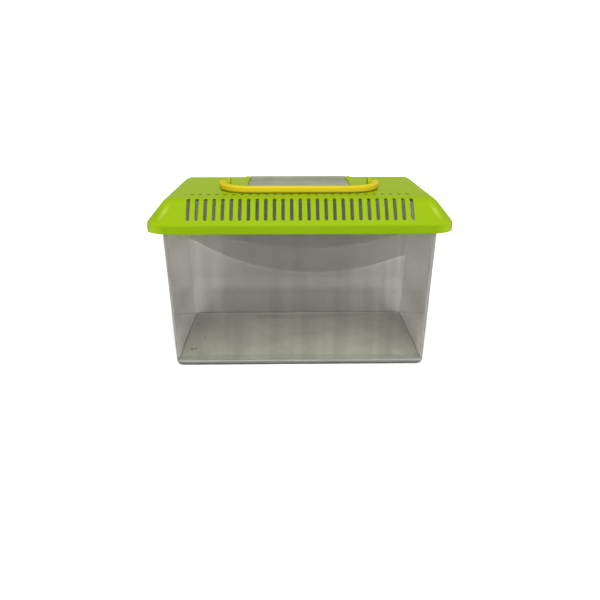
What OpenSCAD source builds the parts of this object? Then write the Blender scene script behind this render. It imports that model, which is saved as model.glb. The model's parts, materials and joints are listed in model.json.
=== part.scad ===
// Plastic pet keeper: a clear drafted tank, a vented roof lid that lifts off,
// a clear feeding hatch and a carry handle that folds flat on the lid.
// Origin at the middle of the tank's foot, +Z up, front towards -Y. Millimetres.

/* [Tank] */
// Outside width of the tank at its foot
base_w = 199.2; // [140:0.1:300]
// Outside depth of the tank at its foot
base_d = 119.2; // [105:0.1:200]
// Height of the tank's rim above the table
tank_h = 116; // [70:0.5:200]
// Lean of the walls away from upright, for the mould
wall_lean = 2.8; // [0.5:0.1:4]
// Outside corner radius at the foot
base_corner_r = 6.5; // [5:0.1:12]
// Thickness of the tank's walls
tank_wall = 1.8; // [1.2:0.1:2.5]
// Thickness of the tank's floor
floor_t = 2; // [1.2:0.1:4]
// Radius of the outside edge along the foot
foot_edge_r = 3; // [1:0.1:3.5]
// Width of the raised ring that the tank stands on
foot_ring_w = 5.5; // [4:0.1:6]
// Height of that ring
foot_ring_h = 0.8; // [0.4:0.1:1.5]
// Radius of the inside edge along the floor
floor_edge_r = 2; // [0.5:0.1:3]

/* [Tank rim] */
// How far the rim stands out from the wall
rim_reach = 7; // [5:0.1:9]
// Thickness of the rim
rim_t = 2; // [1.2:0.1:2.5]
// Height of the rim's turned-down lip
rim_lip_h = 4; // [3:0.1:5]
// Thickness of the lip
rim_lip_t = 1.6; // [1:0.1:2.5]

/* [Lid] */
// Play between the tank's rim and the inside of the lid's skirt
rim_play = 0.8; // [0.4:0.1:2]
// Gap between the tank's rim and the ribs that carry the lid
seat_gap = 0.3; // [0.2:0.05:0.6]
// How far the skirt comes down past the top of the rim
skirt_overlap = 5.3; // [4.5:0.1:9]
// Height of the upright skirt
skirt_h = 6.4; // [6:0.1:12]
// Height of the sloped roof above the skirt
roof_rise = 17.7; // [10:0.1:22]
// How far the roof leans in over that height
roof_run = 14.8; // [11:0.1:15]
// Thickness of the lid
lid_wall = 2; // [1.4:0.1:2.4]
// Corner radius of the skirt
lid_corner_r = 19; // [17:0.1:23]
// Radius of the crease between roof and flat top
crease_r = 8; // [3:0.1:9]
// Radius of the edge between skirt and roof
skirt_edge_r = 3; // [2.5:0.1:5]

/* [Vents] */
// Width of one slot in the roof
slot_w = 2.5; // [1.5:0.1:3.2]
// Length of one slot up the roof
slot_l = 19.2; // [8:0.1:20]
// Distance from the roof's lower edge to the slots
slot_start = 4.4; // [3:0.1:5]
// Distance between slots
slot_pitch = 6.35; // [5.5:0.05:9]
// Plain stretch of roof left at each end of a row of slots
slot_margin = 17; // [12:0.5:30]
// Diameter of the small air holes in the flat top
air_hole_d = 3; // [1.5:0.1:3.5]
// Distance from the crease to the row of air holes
air_hole_inset = 18.3; // [8:0.1:20]
// Thickness of the ribs that carry the lid on the rim
rib_t = 1.6; // [1:0.1:2.4]

/* [Feeding hatch] */
// Width of the hatch
hatch_w = 85; // [50:0.5:95]
// Length of the hatch from its hinge line to its front edge
hatch_l = 75; // [45:0.5:76]
// Thickness of the hatch
hatch_t = 1.8; // [1.2:0.1:2.4]
// Corner radius of the hatch
hatch_corner_r = 4; // [2:0.5:8]
// Gap between the hatch and the lid all round
hatch_gap = 0.4; // [0.3:0.05:0.8]
// Radius of the rod along the hinge line
hinge_rod_r = 1.85; // [1.5:0.05:1.85]
// Radius of the hinge pins
hinge_pin_r = 1; // [0.8:0.05:1.3]
// Length of each hinge pin
hinge_pin_l = 2.8; // [1.5:0.1:4]
// Wall of a cheek round its pin
cheek_wall = 0.8; // [0.6:0.1:1.4]
// Width of the ledge that the hatch lies on
ledge_w = 3; // [2:0.1:5]
// Thickness of the ledge
ledge_t = 1.6; // [1:0.1:3]
// Width of the finger tab
tab_w = 24; // [12:1:40]
// How far the finger tab reaches past the hatch
tab_reach = 4; // [2:0.1:4.5]
// Thickness of the finger tab
tab_t = 1.6; // [1:0.1:2.5]

/* [Handle] */
// Outside width of the handle at its pivots
handle_w = 129.5; // [125:0.1:150]
// How far the handle's pivots stand in front of the lid's middle
pivot_ahead = 6.5; // [3:0.5:8]
// Gap between the hatch's finger tab and the grip folded forward
grip_gap = 3.4; // [2.5:0.1:5]
// Gap between the hatch's hinge rod and the grip folded back
back_gap = 19.15; // [4:0.05:22]
// Thickness of the grip, upright when the handle is folded
handle_t = 5.4; // [4.8:0.1:7]
// Breadth of the grip
handle_b = 5.6; // [5:0.1:6.5]
// How much slimmer each side of the legs is than the grip
leg_step = 0.3; // [0.2:0.05:0.6]
// Radius of the handle's long edges
handle_edge_r = 1.7; // [0.5:0.1:1.7]
// Lean of the legs towards each other
leg_lean = 8; // [5:0.5:20]
// Radius of the two bends, along the middle of the bar
bend_r = 24; // [8:0.5:28]
// Radius of the pivot pegs
peg_r = 2; // [1.2:0.1:2.2]
// Thickness of the two ears that hold the pegs
ear_t = 2.6; // [2:0.1:4]
// Wall of an ear round its bore
ear_wall = 3.3; // [1.5:0.1:4]

/* [Fits] */
// Radial play of every pin in its bore
pin_play = 0.07; // [0.02:0.01:0.1]
// Gap between faces that move past each other
move_gap = 0.3; // [0.2:0.05:0.6]

/* [Hidden] */
$fn = 48;
// Straight pieces in each rounded edge of a profile
ARC_STEPS = 5;
// How far a cut runs past the face that it opens
THROUGH = 6;
// Slots from one carrying rib to the next
RIB_EVERY = 4;
// How far the finger tab and the handle's legs run into what carries them
TAB_ROOT = 3;
LEG_ROOT = 2;
// Shortest straight stretch of a leg, which limits the bend
LEG_STRAIGHT = 3;
// Least flat roof left inside the crease at a corner, which limits the crease
CORNER_FLAT = 0.2;
// Height of the hinge line over the lid's top
HINGE_LIFT = 0.1;
SMOKE = [0.42, 0.42, 0.40, 0.35];
LIME = [0.62, 0.80, 0.10];
YELLOW = [0.93, 0.80, 0.10];
CLEAR = [0.75, 0.77, 0.75, 0.4];

// Tank, measured outwards from the axis of each corner
corner_x = base_w / 2 - base_corner_r;
corner_y = base_d / 2 - base_corner_r;
wall_skew = tank_wall / cos(wall_lean);
floor_z = foot_ring_h + floor_t;
function tank_side(z) = base_corner_r + z * tan(wall_lean);
rim_u = tank_side(tank_h) + rim_reach;

// Lid, measured outwards from the axis of each of its corners
lid_half_w = corner_x + rim_u + rim_play + lid_wall;
lid_half_d = corner_y + rim_u + rim_play + lid_wall;
lid_corner_x = lid_half_w - lid_corner_r;
lid_corner_y = lid_half_d - lid_corner_r;
skirt_z = tank_h - skirt_overlap;
eaves_z = skirt_z + skirt_h;
top_z = eaves_z + roof_rise;
roof_angle = atan2(roof_rise, roof_run);
top_half_w = lid_half_w - roof_run;
top_half_d = lid_half_d - roof_run;
crease_limit = (lid_corner_r - roof_run - CORNER_FLAT) / tan(roof_angle / 2);
crease_out_r = min(crease_r, crease_limit);
seat_z = tank_h + seat_gap;
long_row = floor((top_half_w - slot_margin) / slot_pitch);
short_row = floor((top_half_d - slot_margin) / slot_pitch);

// Height of the middle of the roof's wall, this far out from a corner axis
function mid_roof(u) =
    eaves_z + (lid_corner_r - u - lid_wall / 2 / sin(roof_angle)) * tan(roof_angle);

// The handle's loop goes round the hatch: in front of its tab when it is folded
// forward, and in front of its hinge rod when it is folded back
handle_reach = (hatch_l + tab_reach + handle_b + grip_gap - back_gap - hinge_rod_r) / 2;
hinge_back = handle_reach - pivot_ahead + back_gap + hinge_rod_r;

// Hatch and its well in the lid
hinge_z = top_z + HINGE_LIFT;
hatch_front = hinge_back - hatch_l;
ledge_z = top_z - hatch_t - move_gap;
well_half_w = hatch_w / 2 + hatch_gap;
well_front = hatch_front - hatch_gap;
well_back = hinge_back + hinge_rod_r + hatch_gap;
cheek_t = hinge_pin_l + 2 * hatch_gap;
cheek_r = hinge_pin_r + pin_play + cheek_wall;

// Handle, folded forward on the lid
pivot_z = top_z + move_gap + handle_t / 2;
pivot_x = handle_w / 2 - handle_b / 2;
pivot_y = -pivot_ahead;
grip_reach = handle_reach - handle_b / 2;
leg_run = grip_reach / cos(leg_lean);
bend_run = min(bend_r * tan((90 - leg_lean) / 2), leg_run - LEG_STRAIGHT);
bend_mid_r = bend_run / tan((90 - leg_lean) / 2);
ear_r = peg_r + pin_play + ear_wall;
ear_foot = norm([ear_r, pivot_z - top_z]);
leg_half_b = handle_b / 2 - leg_step;
ear_face = pivot_x - leg_half_b / cos(leg_lean) - ear_foot * tan(leg_lean) - move_gap;

// Points of an arc round [x, y] between two angles
function arc(x, y, r, from, to) =
    [for (i = [0:ARC_STEPS]) let (a = from + (to - from) * i / ARC_STEPS)
        [x + r * cos(a), y + r * sin(a)]];

// The lid's roof line, a given depth below the outside, from the skirt's foot inwards
function roof_line(depth) =
    let (tilt = 90 - roof_angle,
         edge_z = eaves_z - skirt_edge_r * tan(tilt / 2),
         crease_u = lid_corner_r - roof_run - crease_out_r * tan(roof_angle / 2))
    concat(
        [[lid_corner_r - depth, skirt_z]],
        arc(lid_corner_r - skirt_edge_r, edge_z, skirt_edge_r - depth, 0, tilt),
        arc(crease_u, top_z - crease_out_r, crease_out_r - depth, tilt, 90),
        [[0, top_z - depth]]);

function reversed(points) = [for (i = [len(points) - 1:-1:0]) points[i]];

// A profile carried round a rectangle with round corners. The profile's x runs
// outwards from the corner axes, which stand at half_x and half_y.
module carried_round(profile, half_x, half_y) {
    for (side = [0:3]) {
        across = side % 2 == 0 ? half_x : half_y;
        along = side % 2 == 0 ? half_y : half_x;
        rotate([0, 0, 90 * side]) translate([across, along, 0]) {
            rotate_extrude(angle = 90) polygon(profile);
            rotate([90, 0, 0]) linear_extrude(2 * along) polygon(profile);
        }
    }
}

// A slab between two heights, over the rectangle of the corner axes
module middle_slab(half_x, half_y, low, high) {
    translate([-half_x, -half_y, low]) cube([2 * half_x, 2 * half_y, high - low]);
}

// A flat flap with a straight back edge and true round corners at the front
module flap_outline(half_w, front, back, r) {
    translate([-half_w, front + r]) square([2 * half_w, back - front - r]);
    translate([r - half_w, front]) square([2 * (half_w - r), back - front]);
    for (way = [-1, 1]) translate([way * (half_w - r), front + r]) circle(r);
}

// A cross-section of the handle with true round corners, standing at x
module handle_section(x, half_b, half_t) {
    flat_b = half_b - handle_edge_r;
    flat_t = half_t - handle_edge_r;
    translate([x - half_b, -flat_t]) square([2 * half_b, 2 * flat_t]);
    translate([x - flat_b, -half_t]) square([2 * flat_b, 2 * half_t]);
    for (u = [-1, 1], v = [-1, 1]) translate([x + u * flat_b, v * flat_t]) circle(handle_edge_r);
}

// A rod along X between two places, at a given depth and height
module rod_x(r, from, to, y, z) {
    translate([from, y, z]) rotate([0, 90, 0]) cylinder(r = r, h = to - from);
}

// Tank: drafted walls, a foot ring, and a rim with a turned-down lip
module tank() {
    edge_u = tank_side(foot_edge_r) - foot_edge_r / cos(wall_lean);
    inside_z = floor_z + floor_edge_r;
    inside_u = tank_side(inside_z) - wall_skew - floor_edge_r / cos(wall_lean);
    lip_round = rim_lip_t / 2;
    profile = concat(
        [[0, foot_ring_h],
         [base_corner_r - foot_ring_w, foot_ring_h],
         [base_corner_r - foot_ring_w + foot_ring_h, 0]],
        arc(edge_u, foot_edge_r, foot_edge_r, -90, -wall_lean),
        [[tank_side(tank_h - rim_t), tank_h - rim_t],
         [rim_u - rim_lip_t, tank_h - rim_t],
         [rim_u - rim_lip_t, tank_h - rim_lip_h],
         [rim_u, tank_h - rim_lip_h]],
        arc(rim_u - lip_round, tank_h - lip_round, lip_round, 0, 90),
        [[tank_side(tank_h) - wall_skew, tank_h]],
        arc(inside_u, inside_z, floor_edge_r, -wall_lean, -90),
        [[0, floor_z]]);
    color(SMOKE) {
        carried_round(profile, corner_x, corner_y);
        middle_slab(corner_x, corner_y, foot_ring_h, floor_z);
    }
}

// Outline of one vent slot, up the Y axis from its lower end
module slot_outline() {
    end_r = slot_w / 2;
    translate([-end_r, end_r]) square([slot_w, slot_l - slot_w]);
    for (y = [end_r, slot_l - end_r]) translate([0, y]) circle(end_r);
}

// Vent slots through all four slopes
module roof_slots() {
    for (side = [0:3]) {
        out = side % 2 == 0 ? lid_half_d : lid_half_w;
        n = side % 2 == 0 ? long_row : short_row;
        rotate([0, 0, 90 * side]) translate([0, -out, eaves_z]) rotate([roof_angle, 0, 0])
            for (i = [-n:n]) translate([i * slot_pitch, slot_start, -THROUGH])
                linear_extrude(2 * THROUGH) slot_outline();
    }
}

// Row of air holes in the flat top, one above each front slot
module air_holes() {
    for (i = [-long_row:long_row])
        translate([i * slot_pitch, air_hole_inset - top_half_d, top_z - THROUGH])
            cylinder(d = air_hole_d, h = 2 * THROUGH);
}

// Gussets under the eaves that carry the lid on the tank's rim, between the slots
module seat_ribs() {
    inner = lid_corner_r - lid_wall - rim_play - rim_reach;
    outer = lid_corner_r - lid_wall / 2;
    profile = [[inner, seat_z], [outer, seat_z], [outer, mid_roof(outer)], [inner, mid_roof(inner)]];
    for (side = [0:3]) {
        across = side % 2 == 0 ? lid_corner_x : lid_corner_y;
        n = side % 2 == 0 ? short_row : long_row;
        rotate([0, 0, 90 * side])
            for (i = [0:RIB_EVERY:n], way = [-1, 1])
                translate([across, way * (i + 0.5) * slot_pitch + rib_t / 2, 0])
                    rotate([90, 0, 0]) linear_extrude(rib_t) polygon(profile);
    }
}

// Walls and ledge of the well that the hatch lies in
module hatch_well() {
    low = ledge_z - ledge_t;
    translate([0, 0, low]) linear_extrude(top_z - lid_wall / 2 - low)
        flap_outline(well_half_w + lid_wall, well_front - lid_wall, well_back + lid_wall,
                     hatch_corner_r + lid_wall);
}

// Space for the hatch, and the way through below it
module hatch_cut() {
    translate([0, 0, ledge_z]) linear_extrude(THROUGH)
        flap_outline(well_half_w, well_front, well_back, hatch_corner_r);
    translate([0, 0, ledge_z - THROUGH]) linear_extrude(2 * THROUGH)
        flap_outline(well_half_w - ledge_w, well_front + ledge_w, well_back - ledge_w,
                     hatch_corner_r);
}

// Cheek that one hinge pin turns in, on the +X side, still without its socket
module hinge_cheek() {
    low = top_z - lid_wall / 2;
    rod_x(cheek_r, well_half_w, well_half_w + cheek_t, hinge_back, hinge_z);
    translate([well_half_w, hinge_back - cheek_r, low])
        cube([cheek_t, 2 * cheek_r, hinge_z - low]);
}

// Ear that one handle peg turns in, on the +X side, still without its bore
module handle_ear() {
    low = top_z - lid_wall / 2;
    rod_x(ear_r, ear_face - ear_t, ear_face, pivot_y, pivot_z);
    translate([ear_face - ear_t, pivot_y - ear_r, low])
        cube([ear_t, 2 * ear_r, pivot_z - low]);
}

// Socket for a hinge pin and bore for a handle peg, on the +X side
module pin_holes() {
    rod_x(hinge_pin_r + pin_play, hatch_w / 2 - THROUGH, hatch_w / 2 + hinge_pin_l + move_gap,
          hinge_back, hinge_z);
    rod_x(peg_r + pin_play, ear_face - ear_t - THROUGH, ear_face + THROUGH, pivot_y, pivot_z);
}

// Lid: vented roof shell with the hatch well, hinge cheeks and handle ears
module lid() {
    profile = concat(roof_line(0), reversed(roof_line(lid_wall)));
    color(LIME) difference() {
        union() {
            difference() {
                union() {
                    carried_round(profile, lid_corner_x, lid_corner_y);
                    middle_slab(lid_corner_x, lid_corner_y, top_z - lid_wall, top_z);
                    seat_ribs();
                    hatch_well();
                }
                roof_slots();
                air_holes();
                hatch_cut();
            }
            for (way = [0, 1]) mirror([way, 0, 0]) {
                hinge_cheek();
                handle_ear();
            }
        }
        for (way = [0, 1]) mirror([way, 0, 0]) pin_holes();
    }
}

// Feeding hatch: clear flap with a hinge rod, two pins and a finger tab
module hatch() {
    pin_end = hatch_w / 2 + hinge_pin_l;
    tab_back = hatch_front + TAB_ROOT;
    tab_front = hatch_front - tab_reach;
    tab_low = top_z + move_gap;
    tab_profile = [[tab_back, top_z - hatch_t / 2], [tab_back, tab_low],
                   [tab_back - tab_t, tab_low + tab_t],
                   [tab_front, tab_low + tab_t], [tab_front, tab_low],
                   [hatch_front, tab_low], [hatch_front, top_z - hatch_t / 2]];
    color(CLEAR) {
        translate([0, 0, top_z - hatch_t]) linear_extrude(hatch_t)
            flap_outline(hatch_w / 2, hatch_front, hinge_back, hatch_corner_r);
        rod_x(hinge_rod_r, -hatch_w / 2, hatch_w / 2, hinge_back, hinge_z);
        rod_x(hinge_pin_r, -pin_end, pin_end, hinge_back, hinge_z);
        translate([-tab_w / 2, 0, 0]) rotate([90, 0, 90]) linear_extrude(tab_w)
            polygon(tab_profile);
    }
}

// Half of the handle, on the +X side: half the grip with its bend, a leg, a knuckle and a peg.
// The pivot axis is the X axis
module handle_half() {
    half_t = handle_t / 2;
    bend_x = pivot_x - grip_reach * tan(leg_lean) - bend_run;
    translate([0, -grip_reach, 0]) rotate([90, 0, 90]) linear_extrude(bend_x)
        handle_section(0, handle_b / 2, half_t);
    translate([bend_x, bend_mid_r - grip_reach, 0]) rotate([0, 0, -90])
        rotate_extrude(angle = 90 - leg_lean) handle_section(bend_mid_r, handle_b / 2, half_t);
    translate([pivot_x, 0, 0]) rotate([0, 0, -leg_lean]) rotate([90, 0, 0])
        linear_extrude(leg_run - bend_run + LEG_ROOT)
            handle_section(0, leg_half_b, half_t - leg_step);
    rod_x(half_t, ear_face + move_gap, handle_w / 2, 0, 0);
    rod_x(peg_r, ear_face - ear_t, pivot_x, 0, 0);
}

// Carry handle: a flat bail with a peg at each end
module handle() {
    color(YELLOW) translate([0, pivot_y, pivot_z])
        for (way = [0, 1]) mirror([way, 0, 0]) handle_half();
}

tank();
lid();
hatch();
handle();
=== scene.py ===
"""Plastic pet keeper, dressed for its portrait.

A clear smoked tank, a lime lid with rows of vents, a clear feeding hatch and a
yellow bail, each modelled as one moulding and riding on its own body.
"""

import json
import logging
import math
from abc import ABC, abstractmethod
from contextlib import contextmanager
from dataclasses import dataclass
from enum import Enum
from typing import Callable, ClassVar, Iterator, NamedTuple, Sequence

import bmesh
import bpy
from mathutils import Euler, Matrix, Vector


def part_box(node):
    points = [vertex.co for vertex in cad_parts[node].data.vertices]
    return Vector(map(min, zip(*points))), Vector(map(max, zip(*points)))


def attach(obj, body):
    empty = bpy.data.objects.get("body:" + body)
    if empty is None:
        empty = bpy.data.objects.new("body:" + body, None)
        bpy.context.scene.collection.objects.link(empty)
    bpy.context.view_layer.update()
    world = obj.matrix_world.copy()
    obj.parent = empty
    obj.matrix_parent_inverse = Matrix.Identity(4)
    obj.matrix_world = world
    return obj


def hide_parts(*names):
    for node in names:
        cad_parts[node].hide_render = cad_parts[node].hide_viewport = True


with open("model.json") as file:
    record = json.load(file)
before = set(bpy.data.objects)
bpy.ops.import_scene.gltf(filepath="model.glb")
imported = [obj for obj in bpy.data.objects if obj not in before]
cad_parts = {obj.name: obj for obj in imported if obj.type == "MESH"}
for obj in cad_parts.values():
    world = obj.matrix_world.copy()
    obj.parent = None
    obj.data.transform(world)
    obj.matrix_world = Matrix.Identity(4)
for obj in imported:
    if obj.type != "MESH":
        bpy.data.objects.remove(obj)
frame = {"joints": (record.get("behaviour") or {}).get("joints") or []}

MM = 0.001
UP = (0.0, 0.0, 1.0)
QUARTER = math.radians(90)
MATRIX_SIZE = 4
WELD = 0.002 * MM  # points closer than this become one
NEAR = 0.01 * MM  # places closer than this count as the same
FLAP_SEGMENTS = 8
SOFT_LIMIT = math.radians(48)  # edges sharper than this get the mould's radius
SHADE_LIMIT = math.radians(40)  # edges sharper than this stay sharp in the shading
WHITE = (1.0, 1.0, 1.0)
OPAQUE = 1.0
MIX_INPUTS = (0, 6, 7)  # a colour Mix node's share, first colour and second colour
MIX_OUTPUT = 2  # its colour
LOG = logging.getLogger("pet_keeper")

Solid = bpy.types.Object
Socket = bpy.types.NodeSocket
Place = tuple[float, float, float]
Colour = tuple[float, float, float]
Span = tuple[float, float]
Value = Socket | float | Colour


class Part(Enum):
    """What a selection in edit mode is made of."""

    VERTS = "VERT"
    EDGES = "EDGE"
    FACES = "FACE"


class Join(Enum):
    """How one solid is worked into another."""

    ADD = "UNION"
    CUT = "DIFFERENCE"


class Maths(Enum):
    """What is done to numbers."""

    TIMES = "MULTIPLY"
    LESS = "SUBTRACT"
    OVER = "DIVIDE"
    SIZE = "ABSOLUTE"


class Ease(Enum):
    """How a change runs between its two ends."""

    EVEN = "LINEAR"
    SOFT = "SMOOTHSTEP"


# ---------------------------------------------------------------- workshop


def deselect_all() -> None:
    """Leaves no object selected."""
    bpy.ops.object.select_all(action="DESELECT")


def take(obj: Solid) -> None:
    """Makes one object the only one selected, and the active one.

    Args:
        obj: the object.
    """
    deselect_all()
    obj.select_set(True)
    bpy.context.view_layer.objects.active = obj


@contextmanager
def editing(obj: Solid) -> Iterator[None]:
    """Opens one object in edit mode with nothing in it selected, and closes it again.

    Args:
        obj: the object.

    Yields:
        Nothing, while the object is open.
    """
    take(obj)
    bpy.ops.object.mode_set(mode="EDIT")
    bpy.ops.mesh.select_mode(type=Part.VERTS.value)
    bpy.ops.mesh.select_all(action="DESELECT")
    yield
    bpy.ops.object.mode_set(mode="OBJECT")


def select_whole() -> None:
    """Selects all of the mesh that is open in edit mode."""
    bpy.ops.mesh.select_all(action="SELECT")


def draw_out(shift: Place | Vector) -> None:
    """Extrudes what is selected in edit mode by a shift."""
    bpy.ops.mesh.extrude_region_move(TRANSFORM_OT_translate={"value": shift})


def middle_of(item: bmesh.types.BMVert | bmesh.types.BMEdge | bmesh.types.BMFace) -> Vector:
    """Gives the middle of a part of a mesh.

    Args:
        item: a vertex, an edge or a face.

    Returns:
        Its middle.
    """
    if isinstance(item, bmesh.types.BMVert):
        return item.co
    return sum((v.co for v in item.verts), Vector()) / len(item.verts)


def pick(obj: Solid, part: Part, test: Callable[..., bool]) -> int:
    """Selects, in edit mode, only what passes a test.

    Args:
        obj: the object that is open in edit mode.
        part: whether vertices, edges or faces are looked at.
        test: is given each item and its middle.

    Returns:
        How many items were selected.
    """
    bpy.ops.mesh.select_all(action="DESELECT")
    bpy.ops.mesh.select_mode(type=part.value)
    mesh = bmesh.from_edit_mesh(obj.data)
    items = {Part.VERTS: mesh.verts, Part.EDGES: mesh.edges, Part.FACES: mesh.faces}[part]
    chosen = [item for item in items if test(item, middle_of(item))]
    for item in chosen:
        item.select_set(True)
    bmesh.update_edit_mesh(obj.data)
    return len(chosen)


def settle(obj: Solid, name: str) -> Solid:
    """Puts an object's place, turn and scale into its mesh, and names it.

    Args:
        obj: the object.
        name: its new name.

    Returns:
        The same object, at the origin.
    """
    take(obj)
    bpy.ops.object.transform_apply(location=True, rotation=True, scale=True)
    obj.name = name
    obj.data.name = name
    return obj


def add_box(name: str, low: Place, high: Place) -> Solid:
    """Adds a box between two corners.

    Args:
        name: the new object's name.
        low: the lowest corner.
        high: the highest corner.

    Returns:
        The box, at the origin, with its place in its mesh.
    """
    deselect_all()
    middle = [(a + b) / 2 for a, b in zip(low, high)]
    size = [b - a for a, b in zip(low, high)]
    bpy.ops.mesh.primitive_cube_add(size=1, location=middle, scale=size)
    return settle(bpy.context.object, name)


def add_rod(name: str, radius: float, start: Place, end: Place, sides: int = 32) -> Solid:
    """Adds a rod between two points.

    Args:
        name: the new object's name.
        radius: the rod's radius.
        start: the middle of one end.
        end: the middle of the other end.
        sides: how many sides it has.

    Returns:
        The rod, at the origin, with its place in its mesh.
    """
    deselect_all()
    way = Vector(end) - Vector(start)
    bpy.ops.mesh.primitive_cylinder_add(
        vertices=sides,
        radius=radius,
        depth=way.length,
        location=(Vector(start) + Vector(end)) / 2,
        rotation=way.to_track_quat("Z", "Y").to_euler(),
    )
    return settle(bpy.context.object, name)


def add_pin(name: str, radius: float, start: float, end: float, axis: Vector, sides: int = 32) -> Solid:
    """Adds a rod along X.

    Args:
        name: the new object's name.
        radius: the rod's radius.
        start: the place of one end along X.
        end: the place of the other end.
        axis: a point that its axis goes through.
        sides: how many sides it has.

    Returns:
        The rod.
    """
    return add_rod(name, radius, (start, *axis.yz), (end, *axis.yz), sides)


def copy_at(obj: Solid, matrix: Matrix) -> Solid:
    """Copies an object, with a mesh of its own, to another place.

    Args:
        obj: the object.
        matrix: where the copy goes, seen from where the object is.

    Returns:
        The copy.
    """
    twin = obj.copy()
    twin.data = obj.data.copy()
    bpy.context.scene.collection.objects.link(twin)
    twin.matrix_world = matrix @ obj.matrix_world
    bpy.context.view_layer.update()
    return settle(twin, obj.name)


def mirrored(obj: Solid) -> Solid:
    """Copies an object to the other side of the plane x = 0.

    Args:
        obj: the object.

    Returns:
        The copy, right side out.
    """
    twin = copy_at(obj, Matrix.Scale(-1, MATRIX_SIZE, (1, 0, 0)))
    face_outwards(twin)
    return twin


def join_all(objects: Sequence[Solid], name: str) -> Solid:
    """Puts several objects into one.

    Args:
        objects: the objects, of which the first takes in the rest.
        name: its new name.

    Returns:
        The first object.
    """
    take(objects[0])
    for obj in objects:
        obj.select_set(True)
    bpy.ops.object.join()
    objects[0].name = name
    return objects[0]


def face_outwards(obj: Solid) -> None:
    """Welds doubled points and turns every face outwards.

    Args:
        obj: the object.
    """
    with editing(obj):
        select_whole()
        bpy.ops.mesh.remove_doubles(threshold=WELD)
        bpy.ops.mesh.dissolve_degenerate(threshold=WELD)
        select_whole()
        bpy.ops.mesh.normals_make_consistent(inside=False)


def treat(obj: Solid, kind: str, **settings: object) -> None:
    """Adds a modifier to an object and makes its work part of the mesh.

    Args:
        obj: the object.
        kind: the modifier's type.
        **settings: the modifier's own settings.
    """
    take(obj)
    step = obj.modifiers.new(kind.lower(), kind)
    for name, value in settings.items():
        setattr(step, name, value)
    bpy.ops.object.modifier_apply(modifier=step.name)


def work_in(obj: Solid, tool: Solid, join: Join) -> None:
    """Adds one solid to another or cuts it out, and removes the tool.

    Args:
        obj: the solid that is worked on.
        tool: the solid that is added or cut out.
        join: which of the two.
    """
    treat(obj, "BOOLEAN", operation=join.value, solver="EXACT", object=tool)
    bpy.data.objects.remove(tool)


def round_edges(obj: Solid, radius: float, segments: int, test: Callable[..., bool]) -> None:
    """Rounds the edges that pass a test.

    Args:
        obj: the object.
        radius: the radius of the rounding.
        segments: how many strips it has.
        test: is given each edge and its middle.
    """
    with editing(obj):
        if pick(obj, Part.EDGES, test):
            bpy.ops.mesh.bevel(offset=radius, segments=segments, affect="EDGES", clamp_overlap=False)


def soften(obj: Solid, width: float, segments: int = 2) -> None:
    """Rounds every sharp edge of a moulding by the radius that its mould has.

    Args:
        obj: the moulding.
        width: the breadth of the rounding.
        segments: how many strips the rounding has.
    """
    treat(
        obj,
        "BEVEL",
        width=width,
        segments=segments,
        limit_method="ANGLE",
        angle_limit=SOFT_LIMIT,
        use_clamp_overlap=False,
        miter_outer="MITER_ARC",
    )


def smooth(obj: Solid) -> None:
    """Shades a piece smooth, apart from its sharp edges.

    Args:
        obj: the piece.
    """
    take(obj)
    bpy.ops.object.shade_smooth_by_angle(angle=SHADE_LIMIT)
    treat(obj, "WEIGHTED_NORMAL", keep_sharp=True)


# ---------------------------------------------------------------- profiles


@dataclass(frozen=True)
class Turn:
    """One corner of a profile.

    Attributes:
        out: how far out from the corner axis it lies.
        height: its height over the table.
        radius: how round it is, or 0 for a sharp corner.
    """

    out: float
    height: float
    radius: float = 0.0


def draw_profile(name: str, turns: Sequence[Turn], at: Place, segments: int) -> Solid:
    """Draws a line of edges in the plane across +X and rounds its corners.

    Args:
        name: the new object's name.
        turns: the corners in order.
        at: the corner axis that the turns are measured from.
        segments: how many edges a round corner has.

    Returns:
        The line, still without a face.
    """
    deselect_all()
    places = [Vector((at[0] + t.out, at[1], t.height)) for t in turns]
    bpy.ops.mesh.primitive_plane_add(size=MM, location=places[0])
    line = settle(bpy.context.object, name)
    with editing(line):
        select_whole()
        bpy.ops.mesh.merge(type="CENTER")
        for here, there in zip(places, places[1:]):
            draw_out(there - here)
        for before, here, after, turn in zip(places, places[1:], places[2:], turns[1:]):
            if turn.radius:
                bend = (here - before).angle(after - here)
                pick(line, Part.VERTS, lambda v, m, here=here: (m - here).length < NEAR)
                bpy.ops.mesh.bevel(
                    offset=turn.radius * math.tan(bend / 2),
                    segments=segments,
                    affect="VERTICES",
                    clamp_overlap=False,
                )
    return line


def carry_round(line: Solid, half_x: float, half_y: float, steps: int) -> None:
    """Carries a profile round a rectangle with round corners, clockwise from above.

    Args:
        line: the profile, standing at the corner axis (half_x, half_y).
        half_x: distance of the corner axes from the middle, along X.
        half_y: distance of the corner axes from the middle, along Y.
        steps: how many strips each corner has.
    """
    path = (
        ((0, -2 * half_y, 0), (half_x, -half_y, 0)),
        ((-2 * half_x, 0, 0), (-half_x, -half_y, 0)),
        ((0, 2 * half_y, 0), (-half_x, half_y, 0)),
        ((2 * half_x, 0, 0), (half_x, half_y, 0)),
    )
    with editing(line):
        select_whole()
        for run, centre in path:
            draw_out(run)
            bpy.ops.mesh.spin(steps=steps, angle=QUARTER, center=centre, axis=UP)
        select_whole()
        bpy.ops.mesh.remove_doubles(threshold=WELD)


def close_middle(obj: Solid, heights: Sequence[float]) -> None:
    """Closes the openings that a carried profile leaves between the corner axes.

    Args:
        obj: the carried profile.
        heights: the heights of its openings.
    """
    with editing(obj):
        for height in heights:
            pick(obj, Part.EDGES, lambda e, m, z=height: e.is_boundary and abs(m.z - z) < NEAR)
            bpy.ops.mesh.edge_face_add()
    face_outwards(obj)


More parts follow.
